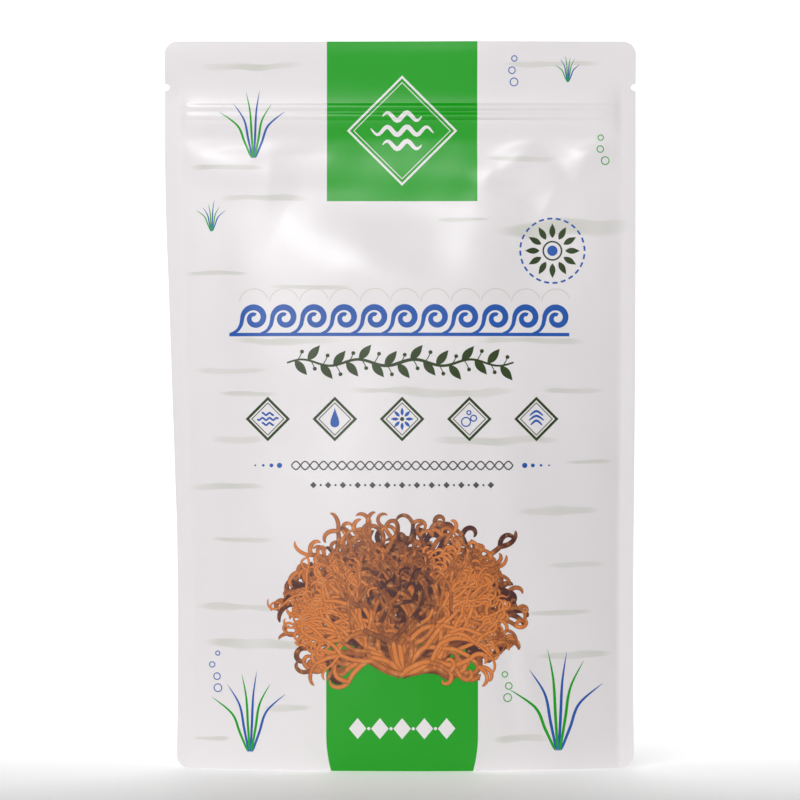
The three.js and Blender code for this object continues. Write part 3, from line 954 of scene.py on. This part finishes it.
class Finish:
    """A material with one Principled shader, and one method that adds every other node."""
    def __init__(self, name, roughness, color=None, coat=0.0, ior=1.46):
        self.material = bpy.data.materials.new(name)
        self.material.use_nodes = True
        self.tree = self.material.node_tree
        self.shader = self.tree.nodes["Principled BSDF"]
        self.shader.inputs["Roughness"].default_value = roughness
        self.shader.inputs["Coat Weight"].default_value = coat
        self.shader.inputs["IOR"].default_value = ior
        self.shader.inputs["Coat Roughness"].default_value = 0.3
        if color:
            self.shader.inputs["Base Color"].default_value = (*color, 1)
            self.material.diffuse_color = (*color, 1)

    def add(self, kind, settings=None, inputs=None, output=0):
        """Adds a node, and gives one of its outputs."""
        node = self.tree.nodes.new(kind)
        for key, value in (settings or {}).items():
            setattr(node, key, value)
        for key, value in (inputs or {}).items():
            self.feed(node.inputs[key], value)
        return Number(self, node.outputs[output])

    def feed(self, socket, value):
        if isinstance(value, Number):
            self.tree.links.new(value.socket, socket)
        else:
            socket.default_value = value

    def drive(self, name, value):
        self.feed(self.shader.inputs[name], value)

    def place(self):
        """Object coordinates in metres, and their X, Y and Z as numbers in millimetres."""
        where = self.add("ShaderNodeTexCoord", output="Object")
        split = self.add("ShaderNodeSeparateXYZ", inputs={0: where}).socket.node
        return where, [Number(self, split.outputs[axis]) * 1000 for axis in range(3)]

    def attribute(self, name):
        return self.add("ShaderNodeAttribute", {"attribute_name": name}, output="Fac")

    def speckle(self, where, scale, detail):
        inputs = {"Vector": where, "Scale": scale, "Detail": detail}
        return self.add("ShaderNodeTexNoise", inputs=inputs)

    def blended(self, first, second, share):
        """Two colours mixed by a share."""
        inputs = {"Factor": share, 6: first, 7: second}
        return self.add("ShaderNodeMix", {"data_type": "RGBA"}, inputs, output=2)

    def bumped(self, height, distance, strength):
        inputs = {"Height": height, "Distance": distance, "Strength": strength}
        self.drive("Normal", self.add("ShaderNodeBump", inputs=inputs))


print("shader helpers ready")

# %% [markdown]
# ## Printed film
# The film is a white laminate with a satin lacquer. Its print has two plain green blocks, one under
# the top edge and one above the base. A block could be a mesh of its own, but ink has no thickness
# to speak of, so the film's material draws it from object coordinates: inside the block's width and
# above or below its end, the colour is green. Fine, shallow noise breaks up the gloss.

# %% Film finish
film_white, film_shade = (0.86, 0.828, 0.838, 1), (0.81, 0.775, 0.79, 1)
pale_green = (0.66, 0.655, 0.61, 1)
film_roughness, satin_roughness = 0.31, 0.36
block_green = (0.003, 0.36, 0.004, 1)


def clouded_white(finish, where):
    """The film's own white, which is a little uneven, and the noise that it follows."""
    cloud = finish.speckle(where, 22, 3)
    return finish.blended(film_white, film_shade, cloud), cloud


def film_finish():
    finish = Finish("printed_film", satin_roughness, film_white[:3], coat=0.06, ior=1.48)
    where, (x, _, z) = finish.place()
    near_base = (1 - z / narrowing_height).at_least(0)
    half_width = block_half_width - block_narrowing * near_base * near_base
    inside = abs(x - block_centre).below(half_width)
    block = inside * (z.above(upper_block_end) + z.below(lower_block_end))
    white, cloud = clouded_white(finish, where)
    finish.drive("Base Color", finish.blended(white, block_green, block))
    finish.drive("Roughness", film_roughness - 0.02 + 0.04 * cloud)
    finish.bumped(finish.speckle(where, 160, 2), 0.00006, 0.5)
    return finish.material


def dress(pieces, material):
    for piece in pieces:
        piece.data.materials.clear()
        piece.data.materials.append(material)


def pale_finish():
    """The brush strokes' ink, which fades into the film's white where its tone is low."""
    finish = Finish("pale_ink", film_roughness, pale_green[:3])
    tone = finish.attribute("tone")
    white, _ = clouded_white(finish, finish.place()[0])
    finish.drive("Base Color", finish.blended(white, pale_green, tone))
    return finish.material


def plain_finish(name, roughness, color, pieces):
    dress(pieces, Finish(name, roughness, color).material)


maroon, orange = (0.07, 0.016, 0.014, 1), (0.74, 0.22, 0.045, 1)
light_orange, strand_edge = (0.86, 0.42, 0.16, 1), (0.06, 0.014, 0.008, 1)


def picture_finish():
    """The seaweed's ink: maroon to orange by tone, mottled, with a dark edge along each strand."""
    finish = Finish("seaweed_ink", 0.4, (0.5, 0.14, 0.05))
    tone, across = (finish.attribute(name) for name in ("tone", "across"))
    mottle = finish.speckle(finish.place()[0], 420, 3)
    body = finish.blended(maroon, orange, (tone + (mottle - 0.5) * 0.9).clamped())
    lit = finish.blended(body, light_orange, (mottle - 0.56).at_least(0) * 2.2)
    edge = abs(across * 2 - 1)
    finish.drive("Base Color", finish.blended(lit, strand_edge, edge * edge * edge * 0.75))
    return finish.material


ink_colours = {
    "blue_ink": (0.012, 0.095, 0.42),
    "dark_green_ink": (0.024, 0.05, 0.006),
    "green_ink": block_green[:3],
    "grey_ink": (0.075, 0.08, 0.075),
    "white_ink": film_white[:3],
}
dress((front_film, back_film, base_gusset), film_finish())
dress((front_prints["pale_ink"], back_prints["pale_ink"]), pale_finish())
dress([front_prints["seaweed_ink"]], picture_finish())
for ink, colour in ink_colours.items():
    laid_pieces = [prints[ink] for prints in (front_prints, back_prints) if ink in prints]
    plain_finish(ink, satin_roughness, colour, laid_pieces)
plain_finish("zip_plastic", 0.25, (0.8, 0.83, 0.8), (rib_strip, channel_strip))


moss_dark, moss_bright = (0.075, 0.018, 0.012, 1), (0.5, 0.17, 0.05, 1)
salt_crust = (0.75, 0.6, 0.48, 1)


def moss_finish():
    """Dried seaweed: leathery, orange brown, darker and redder in patches, with pale salt."""
    finish = Finish("dried_moss", 0.62, (0.3, 0.1, 0.04))
    where, _ = finish.place()
    patch = ((finish.speckle(where, 60, 3) - 0.35) * 3).clamped()
    body = finish.blended(moss_dark, moss_bright, patch)
    wrinkle = finish.speckle(where, 700, 3)
    salt = ((wrinkle - 0.58).at_least(0) * 5).math("MINIMUM", 0.7)
    finish.drive("Base Color", finish.blended(body, salt_crust, salt))
    finish.drive("Roughness", 0.5 + 0.25 * wrinkle)
    finish.bumped(wrinkle, 0.0004, 0.7)
    return finish.material


moss = moss_finish()
for node in (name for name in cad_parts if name.startswith("dried_moss")):
    bpy.data.objects[node].material_slots[0].material = moss
print("film finished")

# %% [markdown]
# ## Stage, camera and light
# The camera looks level at the middle of the pouch from well back, with a long lens, because the
# pouch's sides stay parallel in the picture. The floor runs up into a backdrop in one curve. Light
# comes from a broad soft box above and a little left, with a weaker one in front and one behind.

# %% Camera
view_x, view_height, view_distance = -0.1, 140.6, 1620.0
picture_width_mm = 305.7
camera_data = bpy.data.cameras.new("camera")
camera_data.sensor_width = 36.0
camera_data.lens = camera_data.sensor_width * view_distance / picture_width_mm
camera_data.clip_end = 20
camera = bpy.data.objects.new("camera", camera_data)
camera.location = Vector((view_x, -view_distance, view_height)) * MM
camera.rotation_euler = (math.radians(90), 0, 0)
bpy.context.scene.collection.objects.link(camera)
bpy.context.scene.camera = camera
print(f"lens {camera_data.lens:.0f} mm")

# %% Floor and backdrop, in metres
floor_width, floor_reach, floor_front = 12.0, 10.0, 6.2
bend_radius, wall_height = 1.2, 3.0
near_glow, far_glow = (0.05, 0.05, 0.05, 1), (0.86, 0.86, 0.86, 1)
glow_start, glow_span = -150, 500


def backdrop():
    """One sheet of paper: a floor that bends up into a wall and glows more from behind the pouch."""
    form = bmesh.new()
    bmesh.ops.create_grid(form, x_segments=2, y_segments=90, size=0.5)
    bend_length = bend_radius * math.pi / 2
    for vertex in form.verts:
        along = (vertex.co.y + 0.5) * (floor_reach + bend_length + wall_height)
        x, y, z = vertex.co.x * floor_width, along - floor_front, 0
        if along > floor_reach + bend_length:
            y = floor_reach - floor_front + bend_radius
            z = along - floor_reach - bend_length + bend_radius
        elif along > floor_reach:
            angle = (along - floor_reach) / bend_radius
            y = floor_reach - floor_front + bend_radius * math.sin(angle)
            z = bend_radius * (1 - math.cos(angle))
        vertex.co = (x, y, z)
    floor = piece_from(form, "floor")
    floor.data.polygons.foreach_set("use_smooth", [True] * len(floor.data.polygons))
    finish = Finish("floor_paper", 0.6, (0.82, 0.82, 0.82))
    _, (_, y, _) = finish.place()
    behind = ((y - glow_start) / glow_span).clamped()
    finish.drive("Emission Color", finish.blended(near_glow, far_glow, behind))
    finish.shader.inputs["Emission Strength"].default_value = 1
    floor.data.materials.append(finish.material)


backdrop()
print("floor and backdrop laid")

# %% Lights
light_aim = Vector((0, 0, 0.14))
box_width, box_height = 0.9, 0.6
surround_strength = 0.24


def soft_box(name, location, power):
    data = bpy.data.lights.new(name, "AREA")
    data.shape = "RECTANGLE"
    data.size, data.size_y = box_width, box_height
    data.energy = power
    light = bpy.data.objects.new(name, data)
    light.location = location
    light.rotation_euler = (light_aim - Vector(location)).to_track_quat("-Z", "Y").to_euler()
    bpy.context.scene.collection.objects.link(light)


soft_box("key_box", (-0.55, -1.85, 1.12), 23)
soft_box("front_box", (-0.5, -2.3, 0.5), 3.5)
soft_box("back_box", (0.15, 0.8, 1.5), 3.5)
surround = bpy.data.worlds.new("surround")
surround.use_nodes = True
background = surround.node_tree.nodes["Background"]
background.inputs["Color"].default_value = (1, 1, 1, 1)
background.inputs["Strength"].default_value = surround_strength
bpy.context.scene.world = surround
bpy.context.scene.view_settings.view_transform = "Standard"
print("lights and surround placed")

# %% [markdown]
# ## Hand over
# Every piece rides on the pouch's one body, and the film and the zip also name the imported piece
# that they replace, which is then hidden. The dried seaweed stays as it was packed.

# %% Ride, replace and finish
def hand_over(piece, slot, *nodes):
    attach(piece, "root")
    if nodes:
        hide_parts(*nodes)


hand_over(front_film, "film", "front_panel")
hand_over(back_film, "film", "back_panel")
hand_over(base_gusset, "film", "bottom_gusset")
hand_over(channel_strip, "zip_plastic", "zip_channel")
hand_over(rib_strip, "zip_plastic", "zip_rib")
for prints in (front_prints, back_prints):
    for ink, piece in prints.items():
        hand_over(piece, ink)
